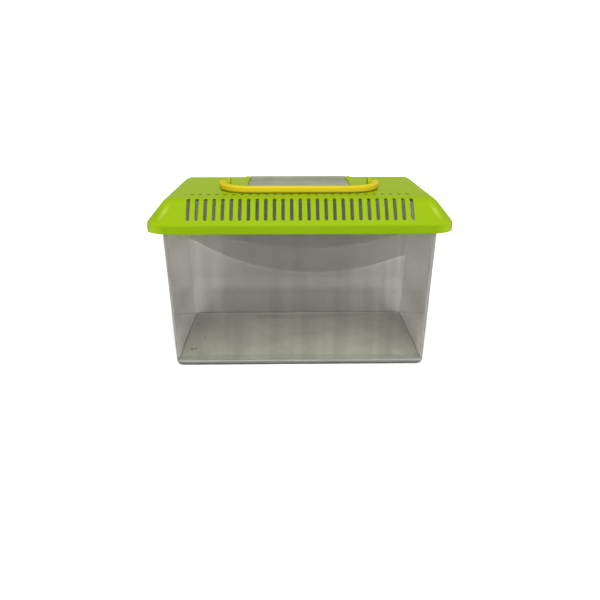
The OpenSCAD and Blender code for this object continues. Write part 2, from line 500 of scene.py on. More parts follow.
def add_flap(
    name: str, half_w: float, front: float, back: float, low: float, high: float, radius: float
) -> Solid:
    """Adds a flat block whose two front corners are round.

    Args:
        name: the new object's name.
        half_w: half its width.
        front: the place of its front edge.
        back: the place of its back edge.
        low: the height of its underside.
        high: the height of its top.
        radius: the radius of the front corners.

    Returns:
        The block.
    """
    flap = add_box(name, (-half_w, front, low), (half_w, back, high))
    round_edges(
        flap,
        radius,
        FLAP_SEGMENTS,
        lambda e, m: abs(abs(m.x) - half_w) < NEAR and abs(m.y - front) < NEAR,
    )
    return flap


# ---------------------------------------------------------------- finishes


@dataclass(frozen=True)
class Cloud:
    """A cloudy pattern.

    Attributes:
        scale: how many patches it has in a metre.
        detail: how many finer layers lie over them.
        rough: how strong those layers are.
        span: the two strengths of the pattern between which a look changes over.
        stretch: how many times longer its patches are in height.
    """

    scale: float
    detail: float = 2.0
    rough: float = 0.5
    span: Span = (0.3, 0.7)
    stretch: float = 1.0


@dataclass(frozen=True)
class Relief:
    """Small unevenness of a skin.

    Attributes:
        cloud: the pattern that it follows.
        depth: how deep it goes.
        strength: how much of it shows.
    """

    cloud: Cloud
    depth: float
    strength: float


class Ways(NamedTuple):
    """A place on a piece, taken apart.

    Attributes:
        x: how far it is to the right.
        y: how far it is to the back.
        z: its height.
        off: how far it is from the middle, to either side.
    """

    x: Socket
    y: Socket
    z: Socket
    off: Socket


class Bench:
    """Lays out and wires the nodes of one material, or of the sky."""

    def __init__(self, owner: bpy.types.Material | bpy.types.World, place: str = "Object") -> None:
        """Opens an empty node tree.

        Args:
            owner: whose node tree it is.
            place: which of the texture coordinates its patterns follow.
        """
        owner.use_nodes = True
        self.owner = owner
        self.tree = owner.node_tree
        self.tree.nodes.clear()
        self.place = self.add("TexCoord").outputs[place]

    def add(self, kind: str, settings: dict[str, object] | None = None, **inputs: Value) -> bpy.types.Node:
        """Adds a node.

        Args:
            kind: the node's type, without its ShaderNode prefix.
            settings: properties of the node itself.
            **inputs: values or sockets for its inputs, with _ for a space in a name.

        Returns:
            The new node.
        """
        node = self.tree.nodes.new("ShaderNode" + kind)
        for name, value in (settings or {}).items():
            setattr(node, name, value)
        for name, value in inputs.items():
            self.feed(node.inputs[name.replace("_", " ")], value)
        return node

    def feed(self, socket: Socket, value: Value) -> None:
        """Gives a socket its value, or wires another socket to it.

        Args:
            socket: the input.
            value: a number, a colour or place, or another node's output.
        """
        if isinstance(value, Socket):
            self.tree.links.new(value, socket)
        elif socket.type == "RGBA":
            socket.default_value = (*value, OPAQUE)
        else:
            socket.default_value = value

    def ways(self) -> Ways:
        """Takes the place on the piece apart."""
        x, y, z = self.add("SeparateXYZ", Vector=self.place).outputs
        return Ways(x, y, z, self.reckon(Maths.SIZE, x))

    def reckon(self, step: Maths, *values: Value) -> Socket:
        """Works numbers out.

        Args:
            step: what is done to them.
            *values: the numbers, in order.

        Returns:
            The result.
        """
        node = self.add("Math", {"operation": step.value})
        for socket, value in zip(node.inputs, values):
            self.feed(socket, value)
        return node.outputs["Value"]

    def product(self, first: Value, second: Value) -> Socket:
        """Multiplies two colours.

        Args:
            first: one colour.
            second: the other colour.

        Returns:
            The result.
        """
        node = self.add("VectorMath", {"operation": "MULTIPLY"})
        self.feed(node.inputs[0], first)
        self.feed(node.inputs[1], second)
        return node.outputs["Vector"]

    def scaled(self, colour: Value, share: Value) -> Socket:
        """Makes a colour lighter or darker.

        Args:
            colour: the colour.
            share: what it is multiplied by.

        Returns:
            The result.
        """
        node = self.add("VectorMath", {"operation": "SCALE"}, Scale=share)
        self.feed(node.inputs[0], colour)
        return node.outputs["Vector"]

    def apart(self, place: Value, centre: Place) -> Socket:
        """Gives the distance of a place from a centre.

        Args:
            place: the place.
            centre: the centre.

        Returns:
            The distance.
        """
        node = self.add("VectorMath", {"operation": "DISTANCE"})
        self.feed(node.inputs[0], place)
        self.feed(node.inputs[1], centre)
        return node.outputs["Value"]

    def spread(
        self,
        value: Value,
        span: Sequence[float],
        first: Value = 0.0,
        last: Value = 1.0,
        ease: Ease = Ease.EVEN,
    ) -> Socket:
        """Goes from one value to another over a span, and stays level on both sides of it.

        Args:
            value: what the span is measured in.
            span: where the change starts and ends.
            first: the result up to the span.
            last: the result past it.
            ease: how the change runs.

        Returns:
            The result.
        """
        node = self.add("MapRange", {"interpolation_type": ease.value}, Value=value)
        for name, number in zip(("From Min", "From Max", "To Min", "To Max"), (*span, first, last)):
            self.feed(node.inputs[name], number)
        return node.outputs["Result"]

    def blend(self, share: Value, first: Value, second: Value) -> Socket:
        """Mixes two colours.

        Args:
            share: how much of the second there is, from 0 to 1.
            first: one colour.
            second: the other colour.

        Returns:
            The mix.
        """
        node = self.add("Mix", {"data_type": "RGBA"})
        for index, value in zip(MIX_INPUTS, (share, first, second)):
            self.feed(node.inputs[index], value)
        return node.outputs[MIX_OUTPUT]

    def noise(self, cloud: Cloud) -> Socket:
        """Lays out a cloudy pattern.

        Args:
            cloud: the pattern.

        Returns:
            Its strength, from 0 to 1.
        """
        place = self.place
        if cloud.stretch > 1:
            place = self.add("Mapping", Vector=place, Scale=(1.0, 1.0, 1.0 / cloud.stretch)).outputs[0]
        node = self.add(
            "TexNoise", Vector=place, Scale=cloud.scale, Detail=cloud.detail, Roughness=cloud.rough
        )
        return node.outputs[0]

    def clouded(self, cloud: Cloud, first: float, last: float) -> Socket:
        """Gives a number that changes from one value to another in clouds."""
        return self.spread(self.noise(cloud), cloud.span, first, last)

    def bump(self, relief: Relief, below: Socket | None = None) -> Socket:
        """Lays out a relief.

        Args:
            relief: the relief.
            below: the normal of another relief that it lies on.

        Returns:
            The normal of the skin.
        """
        height = self.noise(relief.cloud)
        node = self.add("Bump", Height=height, Distance=relief.depth, Strength=relief.strength)
        if below is not None:
            self.feed(node.inputs["Normal"], below)
        return node.outputs["Normal"]

    def done(self, shader: bpy.types.Node, volume: bpy.types.Node | None = None) -> bpy.types.Material:
        """Wires the skin, and what fills the solid, to the output.

        Args:
            shader: the skin.
            volume: what fills the solid.

        Returns:
            The finished material.
        """
        output = self.add("OutputMaterial", Surface=shader.outputs[0])
        if volume is not None:
            self.feed(output.inputs["Volume"], volume.outputs[0])
        return self.owner


@dataclass(frozen=True)
class PaintedHighlight:
    """A painted highlight: a lighter patch on a corner, standing in for the light that it catches.

    Attributes:
        place: its middle, on the right-hand side; the left-hand side has one too.
        reach: its half sizes along its own three axes.
        turn: how its axes are turned.
        colour: its colour.
        core: how far out its full colour goes, as a share of its half sizes.
    """

    place: Place
    reach: Place
    turn: Place
    colour: Colour
    core: float = 0.2


@dataclass(frozen=True)
class Shade:
    """A box of painted shade, in which the plastic's colour is darker, such as down in narrow holes where
    little light reaches.

    Attributes:
        low: its lowest corner, on the right-hand side; the left-hand side has one too.
        high: its highest corner.
        colour: the colour inside it.
        fade: the breadth of its edges.
    """

    low: Place
    high: Place
    colour: Colour
    fade: float = 0.15 * MM


@dataclass(frozen=True)
class OpaquePlastic:
    """Coloured moulded plastic with a soft sheen.

    Attributes:
        name: the material's name.
        colour: its main colour.
        deep: the colour of its slightly denser clouds.
        roughness: how dull its skin is at its glossiest.
        duller: how much duller the skin is elsewhere.
        level: the strength of its mirror-like reflection.
        ior: how strongly it bends light.
        painted_light_bands: painted light, lighter colours that it takes on above a height, standing in
            for how the light falls on the roof and the top, each with that height, from below.
        band_fade: half the breadth of a band's lower edge.
        painted_highlights: its painted highlights.
        shades: its painted shade, where little light reaches.
        clouds: where the plastic is denser.
        dulling: where the skin is duller.
        wave: the slight waviness of the wall.
        grain: the fine grain of the skin.
    """

    name: str
    colour: Colour
    deep: Colour
    roughness: float = 0.36
    duller: float = 0.1
    level: float = 0.015
    ior: float = 1.49
    painted_light_bands: tuple[tuple[float, Colour], ...] = ()
    band_fade: float = 0.8 * MM
    painted_highlights: tuple[PaintedHighlight, ...] = ()
    shades: tuple[Shade, ...] = ()
    clouds: Cloud = Cloud(22.0, 3.0, span=(0.35, 0.7))
    dulling: Cloud = Cloud(60.0, 4.0, 0.6)
    wave: Relief = Relief(Cloud(35.0, 1.0), 0.2 * MM, 0.25)
    grain: Relief = Relief(Cloud(2600.0), 0.02 * MM, 0.35)

    def make(self) -> bpy.types.Material:
        """Builds the material.

        Returns:
            The material.
        """
        bench = Bench(bpy.data.materials.new(self.name))
        ways = bench.ways()
        colour = bench.blend(bench.clouded(self.clouds, 0.0, 1.0), self.colour, self.deep)
        # painted light: above each band's height the colour is lighter, standing in for how the light
        # falls
        for start, tone in self.painted_light_bands:
            edge = (start - self.band_fade, start + self.band_fade)
            colour = bench.blend(bench.spread(ways.z, edge), colour, tone)
        folded = bench.add("CombineXYZ", X=ways.off, Y=ways.y, Z=ways.z).outputs[0]
        # painted highlights, mirrored to both sides
        for highlight in self.painted_highlights:
            own = bench.add(
                "Mapping",
                {"vector_type": "TEXTURE"},
                Vector=folded,
                Location=highlight.place,
                Rotation=highlight.turn,
                Scale=highlight.reach,
            )
            far = bench.apart(own.outputs[0], (0.0, 0.0, 0.0))
            colour = bench.blend(bench.spread(far, (highlight.core, 1.0), 1.0, 0.0), colour, highlight.colour)
        # painted shade in boxes, mirrored to both sides
        for shade in self.shades:
            share = 1.0
            for way, low, high in zip((ways.off, ways.y, ways.z), shade.low, shade.high):
                entry = bench.spread(way, (low - shade.fade, low))
                leave = bench.spread(way, (high, high + shade.fade), 1.0, 0.0)
                share = bench.reckon(Maths.TIMES, bench.reckon(Maths.TIMES, share, entry), leave)
            colour = bench.blend(share, colour, shade.colour)
        skin = bench.add(
            "BsdfPrincipled",
            Base_Color=colour,
            Roughness=bench.clouded(self.dulling, self.roughness, self.roughness + self.duller),
            Normal=bench.bump(self.grain, bench.bump(self.wave)),
            IOR=self.ior,
            Specular_IOR_Level=self.level,
        )
        return bench.done(skin)


@dataclass(frozen=True)
class Arc:
    """A faint round mark in a wall or floor: an arc of painted shade or light, or a stain.

    Attributes:
        across: the place of its centre along X.
        along: the place of its centre along the wall's height, or along the floor's depth.
        radius: its radius.
        share: what the tint inside it is multiplied by.
        fade: the breadth of its edge.
    """

    across: float
    along: float
    radius: float
    share: float
    fade: float = 0.8 * MM


@dataclass(frozen=True)
class TankPlan:
    """The measures of a tank that its finish follows.

    Attributes:
        axis_x: distance of the corner axes from the middle, along X.
        axis_y: distance of the corner axes from the middle, along Y.
        corner_r: the corners' radius at the foot.
        slope: how much the radius grows with the height.
        floor_z: the height of the floor's upper face.
    """

    axis_x: float
    axis_y: float
    corner_r: float
    slope: float
    floor_z: float


@dataclass(frozen=True)
class SmokedPlastic:
    """Clear moulded plastic with a smoke tint, a scuffed floor and a few stains.

    Heights are measured from the table. A tint is what a wall's two faces leave of white light. The tints
    are deeper at the sides, corners, back and foot than in front, as painted shade, with painted light
    near the floor and painted shade in arcs and under the rim.

    Attributes:
        name: the material's name.
        front: the front wall's tint.
        sides: the side walls' tint, smoke deepened by painted shade.
        edges: painted shade: the front corners' dark tint, where they turn into the side walls.
        back: the tint of the back wall's middle, smoke deepened by painted shade.
        back_corners: the back wall's tint towards its corners, smoke deepened by painted shade.
        foot: the foot's dark tint, painted shade along the tank's bottom edge.
        floor_back: the colour of the scuffed floor, at the back, darker as painted shade.
        floor_front: its colour at the front, lighter; the change between them is painted light and shade.
        middle_lift: painted light: how many times lighter the back wall's middle is near the floor, where
            the shadow behind the tank shows through.
        side_lift: painted light: how many times lighter the sides and the back corners are there.
        painted_lime_shade: what is left of a tint under the rim: painted shade with the lid's lime cast.
        depth_tint: what tint_depth of the plastic itself leaves of white light.
        tint_depth: the length over which that is measured.
        floor_haze: how much of the light the floor's scuffs scatter.
        back_shade_arcs: arcs of painted shade, edged with painted light, on the back wall.
        floor_shade_and_stains: a wide arc of painted shade over the back of the floor, a wide darker arc
            at its front, and its stains.
        flow: how strong the upright flow lines in the walls are.
        roughness: how dull the skin is at its glossiest.
        duller: how much duller the skin is elsewhere.
        level: the strength of its mirror-like reflection.
        ior: how strongly it bends light.
        corner_zone: how far in from the corner axes the tint of the back's middle starts to
            change, and its corners' tint is reached.
        corner_fade: the breadth of the change from front to sides, and from sides to back.
        lift_zone: the heights between which the lift fades out.
        back_brow: the heights between which the painted lime shade comes in on the back wall.
        front_brow: the heights between which it comes in on the front wall.
        turn_zone: how far out from the corner axes the edges' tint comes in, as shares of the
            corners' radius.
        lean_top: the height up to which the corners' growing radius is followed.
        foot_zone: how far over the floor's face its colour starts to fade, and is gone.
        floor_zone: where the floor's front and back colours are reached, as shares of axis_y.
        floor_reach: how far past the corner axes the floor's colour goes.
        floor_fade: the breadth of its edge, inwards from there.
        haze_zone: where the scuffs set in over the underside, as shares of the floor's height.
        smear: where the skin is duller.
        scuffs: how the scuffs are spread.
        scuff_low: how strong the faintest scuffs are.
        flow_lines: the upright flow lines.
        wave: the slight waviness of the walls.
    """

    name: str
    front: Colour
    sides: Colour
    edges: Colour
    back: Colour
    back_corners: Colour
    foot: Colour
    floor_back: Colour
    floor_front: Colour
    middle_lift: float
    side_lift: float
    painted_lime_shade: Colour
    depth_tint: Colour
    tint_depth: float
    floor_haze: float
    back_shade_arcs: tuple[Arc, ...]
    floor_shade_and_stains: tuple[Arc, ...]
    flow: float = 0.09
    roughness: float = 0.004
    duller: float = 0.02
    level: float = 0.15
    ior: float = 1.42
    corner_zone: Span = (45.0 * MM, 6.0 * MM)
    corner_fade: float = 4.0 * MM
    lift_zone: Span = (20.0 * MM, 42.0 * MM)
    back_brow: Span = (62.0 * MM, 92.0 * MM)
    front_brow: Span = (103.0 * MM, 106.0 * MM)
    turn_zone: Span = (0.66, 0.76)
    lean_top: float = 100.0 * MM
    foot_zone: Span = (0.5 * MM, 2.0 * MM)
    floor_zone: Span = (-0.7, 0.8)
    floor_reach: float = 5.2 * MM
    floor_fade: float = 1.0 * MM
    haze_zone: Span = (0.5, 0.7)
    smear: Cloud = Cloud(14.0, 4.0, 0.6, span=(0.35, 0.75))
    scuffs: Cloud = Cloud(30.0, 6.0, 0.7, span=(0.3, 0.75))
    scuff_low: float = 0.75
    flow_lines: Cloud = Cloud(90.0, 3.0, stretch=25.0)
    wave: Relief = Relief(Cloud(9.0, 1.0), 0.6 * MM, 0.15)

    def make(self, plan: TankPlan) -> bpy.types.Material:
        """Builds the material.

        Args:
            plan: the measures of the tank that it is for.

        Returns:
            The material.
        """
        bench = Bench(bpy.data.materials.new(self.name))
        ways = bench.ways()
        foot_zone = [plan.floor_z + rise for rise in self.foot_zone]
        low = bench.spread(ways.z, foot_zone, 1.0, 0.0)
        walls, bottom = self.walls(bench, ways, plan), self.bottom(bench, ways, plan)
        above = bench.spread(ways.z, [share * plan.floor_z for share in self.haze_zone])
        scuffs = bench.clouded(self.scuffs, self.scuff_low, 1.0)
        haze = bench.reckon(Maths.TIMES, bench.reckon(Maths.TIMES, low, above), scuffs)
        skin = bench.add(
            "BsdfPrincipled",
            Base_Color=bench.blend(low, walls, bottom),
            Roughness=bench.clouded(self.smear, self.roughness, self.roughness + self.duller),
            Normal=bench.bump(self.wave),
            IOR=self.ior,
            Specular_IOR_Level=self.level,
            Transmission_Weight=bench.spread(haze, (0.0, 1.0), 1.0, 1.0 - self.floor_haze),
        )
        densest = max(-math.log(share) for share in self.depth_tint)
        body = bench.add(
            "VolumeAbsorption",
            Density=densest / self.tint_depth,
            Color=tuple(1 + math.log(share) / densest for share in self.depth_tint),
        )
        return bench.done(skin, body)

    def walls(self, bench: Bench, ways: Ways, plan: TankPlan) -> Socket:
        """Tints the walls: clear in front, smoke with painted shade at the sides and more at the back,
        painted shade at the front corners and under the rim, and painted light near the floor.

        Args:
            bench: where the nodes are laid out.
            ways: the place on the tank.
            plan: the measures of the tank.

        Returns:
            The tint.
        """
        # painted light: the walls lighter low down, where the shadow behind the tank shows through
        lifts = self.middle_lift, self.side_lift
        in_middle, at_sides = (bench.spread(ways.z, self.lift_zone, lift, 1.0) for lift in lifts)
        back = bench.blend(
            bench.spread(ways.off, [plan.axis_x - inset for inset in self.corner_zone]),
            bench.scaled(self.back, in_middle),
            bench.scaled(self.back_corners, at_sides),
        )
        # painted shade and light in arcs on the back wall
        back = self.marked(bench, bench.add("CombineXYZ", X=ways.x, Y=ways.z), back, self.back_shade_arcs)
        # painted lime shade under the rim
        back = self.lime_shaded(bench, ways, back, self.back_brow)
        tint = self.lime_shaded(bench, ways, self.front, self.front_brow)
        # painted shade: the front corners darker where they turn into the sides
        tint = bench.blend(self.turned(bench, ways, plan), tint, self.edges)
        sides = bench.scaled(self.sides, at_sides)
        for start, next_tint in ((-plan.axis_y, sides), (plan.axis_y, back)):
            past = bench.spread(ways.y, (start, start + self.corner_fade))
            tint = bench.blend(past, tint, next_tint)
        return bench.scaled(tint, bench.clouded(self.flow_lines, 1.0 - self.flow, 1.0 + self.flow))

    def lime_shaded(self, bench: Bench, ways: Ways, tint: Value, zone: Span) -> Socket:
        """Gives a tint its painted lime shade over a zone of height and above it."""
        return bench.product(tint, bench.blend(bench.spread(ways.z, zone), WHITE, self.painted_lime_shade))

    def turned(self, bench: Bench, ways: Ways, plan: TankPlan) -> Socket:
        """Finds where the front corners have turned towards the sides.

        Args:
            bench: where the nodes are laid out.
            ways: the place on the tank.
            plan: the measures of the tank.

        Returns:
            0 on the front wall and 1 where its corners have turned.
        """
        ends = (plan.corner_r, plan.corner_r + self.lean_top * plan.slope)
        radius = bench.spread(ways.z, (0.0, self.lean_top), *ends)
        beyond = bench.reckon(Maths.LESS, ways.off, plan.axis_x)
        return bench.spread(bench.reckon(Maths.OVER, beyond, radius), self.turn_zone)

    def bottom(self, bench: Bench, ways: Ways, plan: TankPlan) -> Socket:
        """Colours the scuffed floor inside the walls, with painted shade towards the back, and tints the
        foot round it with painted shade.

        Args:
            bench: where the nodes are laid out.
            ways: the place on the tank.
            plan: the measures of the tank.

        Returns:
            The colour.
        """
        shares = []
        for way, axis in ((ways.off, plan.axis_x), (bench.reckon(Maths.SIZE, ways.y), plan.axis_y)):
            edge = axis + self.floor_reach
            shares.append(bench.spread(way, (edge - self.floor_fade, edge), 1.0, 0.0))
        # painted light and shade: the floor lighter at the front and darker at the back
        forward = bench.spread(ways.y, [share * plan.axis_y for share in self.floor_zone], 1.0, 0.0)
        floor = bench.blend(forward, self.floor_back, self.floor_front)
        floor = self.marked(bench, bench.add("CombineXYZ", X=ways.x, Y=ways.y), floor, self.floor_shade_and_stains)
        # painted shade: the dark foot round the floor
        return bench.blend(bench.reckon(Maths.TIMES, *shares), self.foot, floor)

    def marked(self, bench: Bench, flat: bpy.types.Node, tint: Socket, marks: Sequence[Arc]) -> Socket:
        """Lays marks over the tint of a wall or of the floor: arcs of painted shade and light, and stains.

        Args:
            bench: where the nodes are laid out.
            flat: gives the place along X and along the wall's other way.
            tint: the tint outside every mark.
            marks: the marks.

        Returns:
            The tint with its marks.
        """
        for mark in marks:
            apart = bench.apart(flat.outputs[0], (mark.across, mark.along, 0.0))
            edge = (mark.radius - mark.fade, mark.radius)
            tint = bench.scaled(tint, bench.spread(apart, edge, mark.share, 1.0))
        return tint


@dataclass(frozen=True)
class HazyPlastic:
    """Clear moulded plastic that has gone milky, in blotches.

    Attributes:
        name: the material's name.
        colour: the grey of its haze.
        clear: how much of the light passes through it.
        roughness: how dull its skin is.
        level: the strength of its mirror-like reflection.
        ior: how strongly it bends light.
        dark_share: how light its darkest blotches are, next to the rest.
        blotches: where it is darker.
        wave: the slight waviness of its skin.
    """

    name: str
    colour: Colour
    clear: float
    roughness: float = 0.3
    level: float = 0.015
    ior: float = 1.5
    dark_share: float = 0.75
    blotches: Cloud = Cloud(45.0, 5.0, 0.65)
    wave: Relief = Relief(Cloud(30.0), 0.3 * MM, 0.2)

    def make(self) -> bpy.types.Material:
        """Builds the material.

        Returns:
            The material.
        """
        bench = Bench(bpy.data.materials.new(self.name))
        darker = tuple(self.dark_share * share for share in self.colour)
        skin = bench.add(
            "BsdfPrincipled",
            Base_Color=bench.blend(bench.clouded(self.blotches, 0.0, 1.0), self.colour, darker),
            Roughness=self.roughness,
            Normal=bench.bump(self.wave),
            IOR=self.ior,
            Specular_IOR_Level=self.level,
            Transmission_Weight=self.clear,
        )
        return bench.done(skin)


LIME = OpaquePlastic(
    "lime_moulding",
    colour=(0.142, 0.235, 0.003),
    deep=(0.136, 0.224, 0.0025),
    # painted light: the roof over the eaves, and then the flat top, each lighter to stand in for how the
    # light falls on them
    painted_light_bands=((117.1 * MM, (0.174, 0.274, 0.004)), (134.6 * MM, (0.23, 0.318, 0.003))),
    # painted highlights on the front edges of the roof's corners, and on the corners of its skirt below
    # them
    painted_highlights=(
        PaintedHighlight(
            place=(100.2 * MM, -67.0 * MM, 125.8 * MM),
            reach=(2.6 * MM, 2.6 * MM, 9.0 * MM),
            turn=(math.radians(-26), math.radians(-33), 0.0),
            colour=(0.235, 0.335, 0.035),
        ),
        PaintedHighlight(
            place=(109.5 * MM, -69.5 * MM, 113.5 * MM),
            reach=(11.0 * MM, 11.0 * MM, 7.0 * MM),
            turn=(0.0, 0.0, 0.0),
            colour=(0.215, 0.33, 0.006),
        ),
    ),
    # painted shade on the walls of the air holes
    shades=(
        Shade(
            low=(0.0, -43.6 * MM, 132.0 * MM),
            high=(85.0 * MM, -40.2 * MM, 134.65 * MM),
            colour=(0.012, 0.02, 0.0005),
        ),
    ),
)
YELLOW = OpaquePlastic(
    "yellow_moulding", colour=(0.455, 0.365, 0.012), deep=(0.435, 0.345, 0.009), roughness=0.4
)
SMOKE = SmokedPlastic(
    "smoke_clear_moulding",
    front=(0.95, 0.945, 0.93),
    # the sides, corners, back and foot are darker than the front as painted shade
    sides=(0.284, 0.277, 0.254),
    edges=(0.2, 0.195, 0.18),
    back=(0.142, 0.137, 0.126),
    back_corners=(0.265, 0.259, 0.242),
    foot=(0.14, 0.138, 0.125),
    # the floor: darker at the back than at the front, as painted shade
    floor_back=(0.68, 0.66, 0.57),
    floor_front=(0.88, 0.865, 0.755),
    # painted light near the floor
    middle_lift=2.9,
    side_lift=1.9,
    # painted lime shade under the rim
    painted_lime_shade=(0.92, 0.98, 0.76),
    depth_tint=(0.9, 0.895, 0.875),
    tint_depth=1.8 * MM,
    floor_haze=0.93,
    # painted shade above two arcs on the back wall, each a painted light rim over a dark one
    back_shade_arcs=(
        Arc(16.0 * MM, 265.0 * MM, 223.2 * MM, 1.25),
        Arc(16.0 * MM, 265.0 * MM, 221.8 * MM, 0.5),
        Arc(10.0 * MM, 346.0 * MM, 281.2 * MM, 1.22),
        Arc(10.0 * MM, 346.0 * MM, 279.8 * MM, 0.58),
    ),
    # a wide arc of painted shade over the back of the floor, a wide darker arc at its front, then the
    # stains
    floor_shade_and_stains=(
        Arc(0.0, 232.0 * MM, 190.0 * MM, 0.85, 3.0 * MM),
        Arc(0.0, -2042.0 * MM, 2000.0 * MM, 0.85, 3.0 * MM),
        Arc(-90.5 * MM, -31.0 * MM, 2.0 * MM, 0.12, 1.2 * MM),
        Arc(-87.5 * MM, -30.0 * MM, 1.8 * MM, 0.25, 1.2 * MM),
        Arc(-83.0 * MM, -3.0 * MM, 1.3 * MM, 0.3),
        Arc(-61.0 * MM, -19.0 * MM, 1.1 * MM, 0.4),
        Arc(-93.0 * MM, 29.0 * MM, 3.2 * MM, 0.6, 2.6 * MM),
        Arc(88.0 * MM, 41.0 * MM, 3.0 * MM, 0.6, 2.6 * MM),
        Arc(-4.0 * MM, 4.0 * MM, 2.2 * MM, 0.7, 2.0 * MM),
    ),
)
HATCH_CLEAR = HazyPlastic("hatch_clear_moulding", colour=(0.225, 0.245, 0.172), clear=0.1)


# ---------------------------------------------------------------- pieces


def joint_place(name: str) -> Vector:
    """Gives a point on a joint's axis."""
    joints = {joint["name"]: joint for joint in frame["joints"]}
    return Vector(joints[name]["pos_m"])


class Moulding(ABC):
    """One moulding, which stands for a node of the frame and rides on the body of that name."""

    node: ClassVar[str]
    slot: ClassVar[str]

    @abstractmethod
    def build(self) -> Solid:
        """Models the moulding."""

    @abstractmethod
    def finish(self) -> bpy.types.Material:
        """Makes its material."""

    def dress(self, obj: Solid) -> None:
        """Gives the moulding its finish, and its place on the frame.

        Args:
            obj: the modelled moulding.
        """
        smooth(obj)
        obj.data.materials.append(self.finish())
        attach(obj, self.node)
        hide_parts(self.node)


@dataclass
class Tank(Moulding):
    """The clear drafted box with a foot ring and a rim with a turned-down lip."""

    node: ClassVar[str] = "tank"
    slot: ClassVar[str] = "smoke_clear_plastic"
    wall: float = 1.8 * MM
    floor: float = 2.0 * MM
    lean: float = math.radians(2.8)  # the walls' draft
    corner_r: float = 6.5 * MM
    foot_r: float = 3.0 * MM
    ring_w: float = 5.5 * MM
    ring_h: float = 0.8 * MM
    inner_r: float = 2.0 * MM
    rim_reach: float = 7.0 * MM
    rim_t: float = 2.0 * MM
    lip_h: float = 4.0 * MM
    lip_t: float = 1.6 * MM
    edge_r: float = 0.4 * MM
    steps: int = 12  # strips round each upright corner
    bend_steps: int = 5  # strips over each rounded edge

    def __post_init__(self) -> None:
        """Takes the tank's height and corner axes from the frame."""
        _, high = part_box(self.node)
        self.height = high.z
        self.floor_z = self.ring_h + self.floor
        self.rim_out = self.side(self.height) + self.rim_reach
        self.axis_x = high.x - self.rim_out
        self.axis_y = high.y - self.rim_out

    def side(self, height: float) -> float:
        """Gives how far the outside of the wall stands out from the corner axis at a height."""
        return self.corner_r + height * math.tan(self.lean)

    def build(self) -> Solid:
        """Carries the wall's profile round the four corners.

        Returns:
            The tank.
        """
        skew = self.wall / math.cos(self.lean)
        under_rim = self.height - self.rim_t
        turns = [
            Turn(0, self.ring_h),
            Turn(self.corner_r - self.ring_w, self.ring_h),
            Turn(self.corner_r - self.ring_w + self.ring_h, 0, self.edge_r),
            Turn(self.corner_r, 0, self.foot_r),
            Turn(self.side(under_rim), under_rim, 2 * self.edge_r),
            Turn(self.rim_out - self.lip_t, under_rim, self.edge_r),
            Turn(self.rim_out - self.lip_t, self.height - self.lip_h, self.edge_r),
            Turn(self.rim_out, self.height - self.lip_h, self.edge_r),
            Turn(self.rim_out, self.height, self.lip_t / 2),
            Turn(self.side(self.height) - skew, self.height, 2 * self.edge_r),
            Turn(self.side(self.floor_z) - skew, self.floor_z, self.inner_r),
            Turn(0, self.floor_z),
        ]
        shell = draw_profile("tank_shell", turns, (self.axis_x, self.axis_y, 0), self.bend_steps)
        carry_round(shell, self.axis_x, self.axis_y, self.steps)
        close_middle(shell, (self.ring_h, self.floor_z))
        return shell

    def finish(self) -> bpy.types.Material:
        """Makes smoked plastic that follows the tank's measures."""
        plan = TankPlan(self.axis_x, self.axis_y, self.corner_r, math.tan(self.lean), self.floor_z)
        return SMOKE.make(plan)


@dataclass
class Hatch(Moulding):
    """The clear flap with its hinge rod, two pins and a finger tab."""

    node: ClassVar[str] = "hatch"
    slot: ClassVar[str] = "hatch_clear_plastic"
    thickness: float = 1.8 * MM
    corner_r: float = 4.0 * MM
    rod_r: float = 1.85 * MM
    pin_r: float = 1.0 * MM
    pin_l: float = 2.8 * MM
    tab_w: float = 24.0 * MM
    tab_reach: float = 4.0 * MM
    tab_t: float = 1.6 * MM
    tab_root: float = 3.0 * MM
    tab_lift: float = 0.3 * MM
    edge_r: float = 0.3 * MM
    edge_steps: int = 3

    def __post_init__(self) -> None:
        """Takes the hatch's size and its hinge from the frame."""
        low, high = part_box(self.node)
        self.hinge = joint_place("hatch_hinge")
        self.half_w = high.x - self.pin_l
        self.front = low.y + self.tab_reach
        self.under = low.z

    def build(self) -> Solid:
        """Makes the flap and works the rod, the pins and the tab into it.

        Returns:
            The hatch.
        """
        top = self.under + self.thickness
        flap = add_flap(
            "hatch_flap", self.half_w, self.front, self.hinge.y, self.under, top, self.corner_r
        )
        tip = self.half_w + self.pin_l
        work_in(flap, add_pin("rod", self.rod_r, -self.half_w, self.half_w, self.hinge), Join.ADD)
        work_in(flap, add_pin("pins", self.pin_r, -tip, tip, self.hinge), Join.ADD)
        work_in(flap, self.tab(top), Join.ADD)
        soften(flap, self.edge_r, self.edge_steps)
        return flap

    def tab(self, top: float) -> Solid:
        """Models the finger tab: a block on the flap, drawn out over its front edge.

        Args:
            top: the height of the flap's upper face.

        Returns:
            The tab.
        """
        low_z = top - self.thickness / 2
        sill = top + self.tab_lift
        high_z = sill + self.tab_t
        half, root = self.tab_w / 2, self.front + self.tab_root
        tab = add_box("tab", (-half, self.front, low_z), (half, root, sill))
        with editing(tab):
            pick(tab, Part.FACES, lambda f, m: abs(m.z - sill) < NEAR)
            draw_out((0, 0, self.tab_t))
            pick(tab, Part.FACES, lambda f, m: abs(m.y - self.front) < NEAR and sill < m.z < high_z)
            draw_out((0, -self.tab_reach, 0))
            pick(tab, Part.VERTS, lambda v, m: abs(m.z - high_z) < NEAR and m.y > root - NEAR)
            bpy.ops.transform.translate(value=(0, -self.tab_t, 0))
        face_outwards(tab)
        return tab

    def finish(self) -> bpy.types.Material:
        """Makes hazy clear plastic."""
        return HATCH_CLEAR.make()


